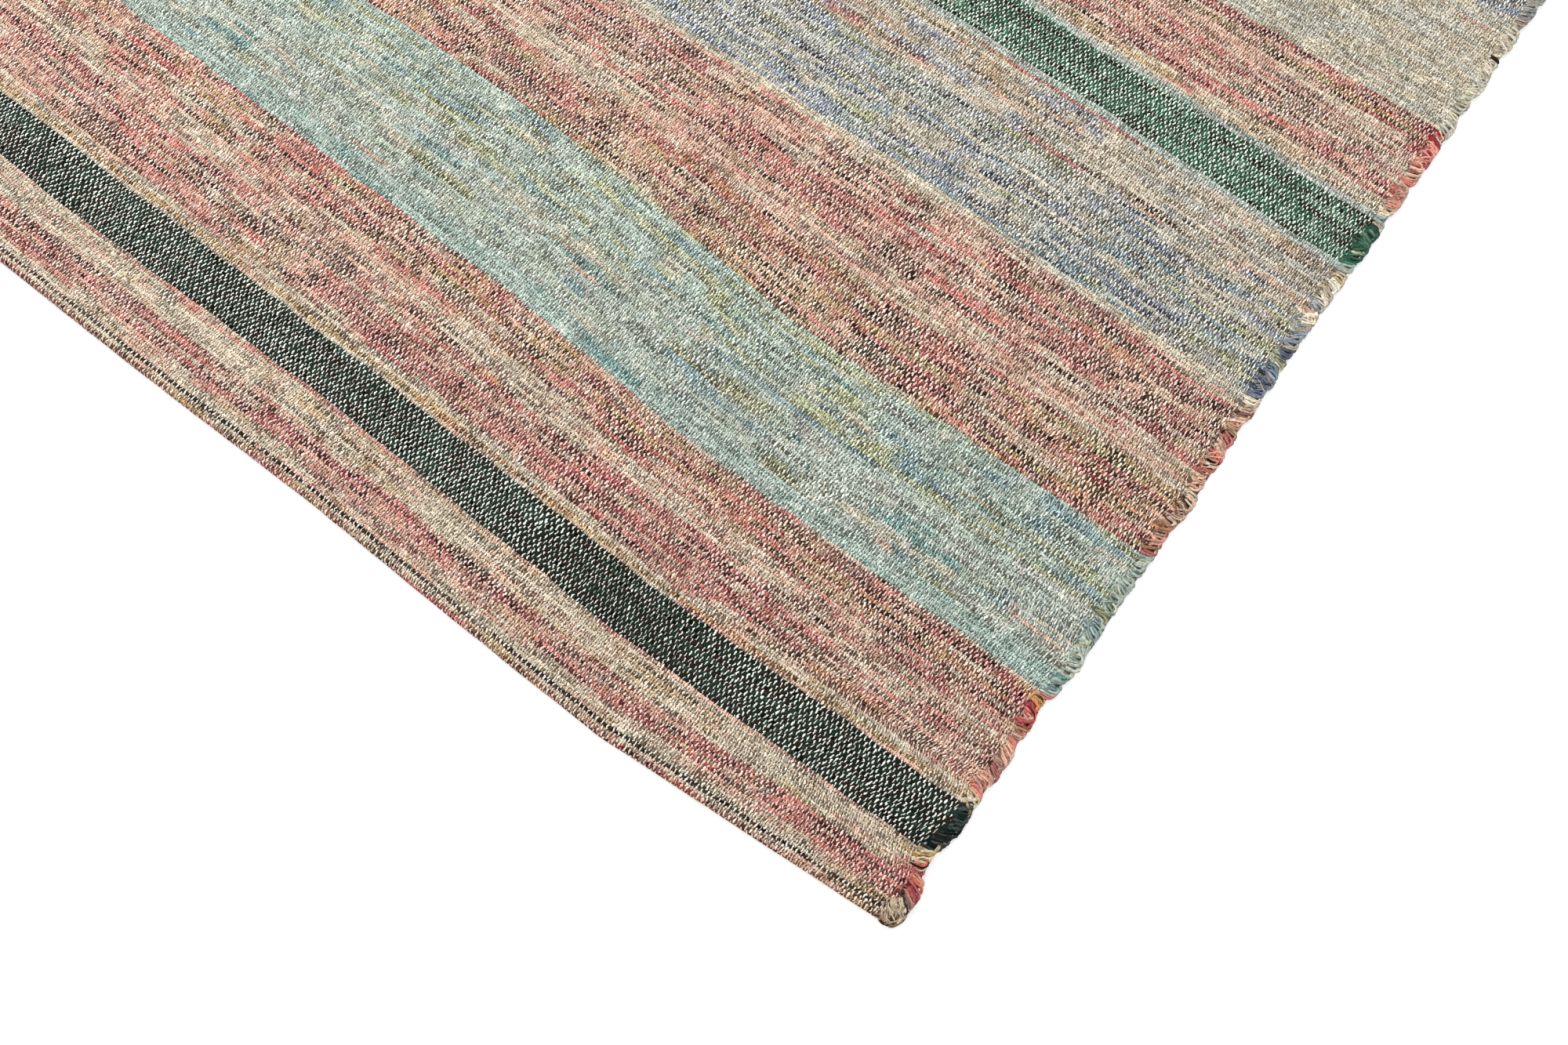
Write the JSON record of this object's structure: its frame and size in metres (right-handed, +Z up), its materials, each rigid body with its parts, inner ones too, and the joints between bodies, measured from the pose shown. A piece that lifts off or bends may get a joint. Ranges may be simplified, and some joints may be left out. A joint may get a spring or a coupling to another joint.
{
  "type": "rag rug",
  "caption": "Flat-woven rag rug with cross stripes in rose, sea green, blue, cream and dark green, hemmed at both ends and lying flat.",
  "frame": {"origin": "on the floor, under the middle of the rug", "axes": "+X along the weft towards the right selvedge, +Y along the warp from the near hem to the far hem, +Z up out of the face side"},
  "size_m": [1.22, 1.83, 0.0103],
  "materials": {
    "rag_weave": "matt, slubby rag weft with a cream cotton warp, faded cross stripes"
  },
  "bodies": {
    "root": {"rug": "rag_weave"}
  },
  "joints": []
}
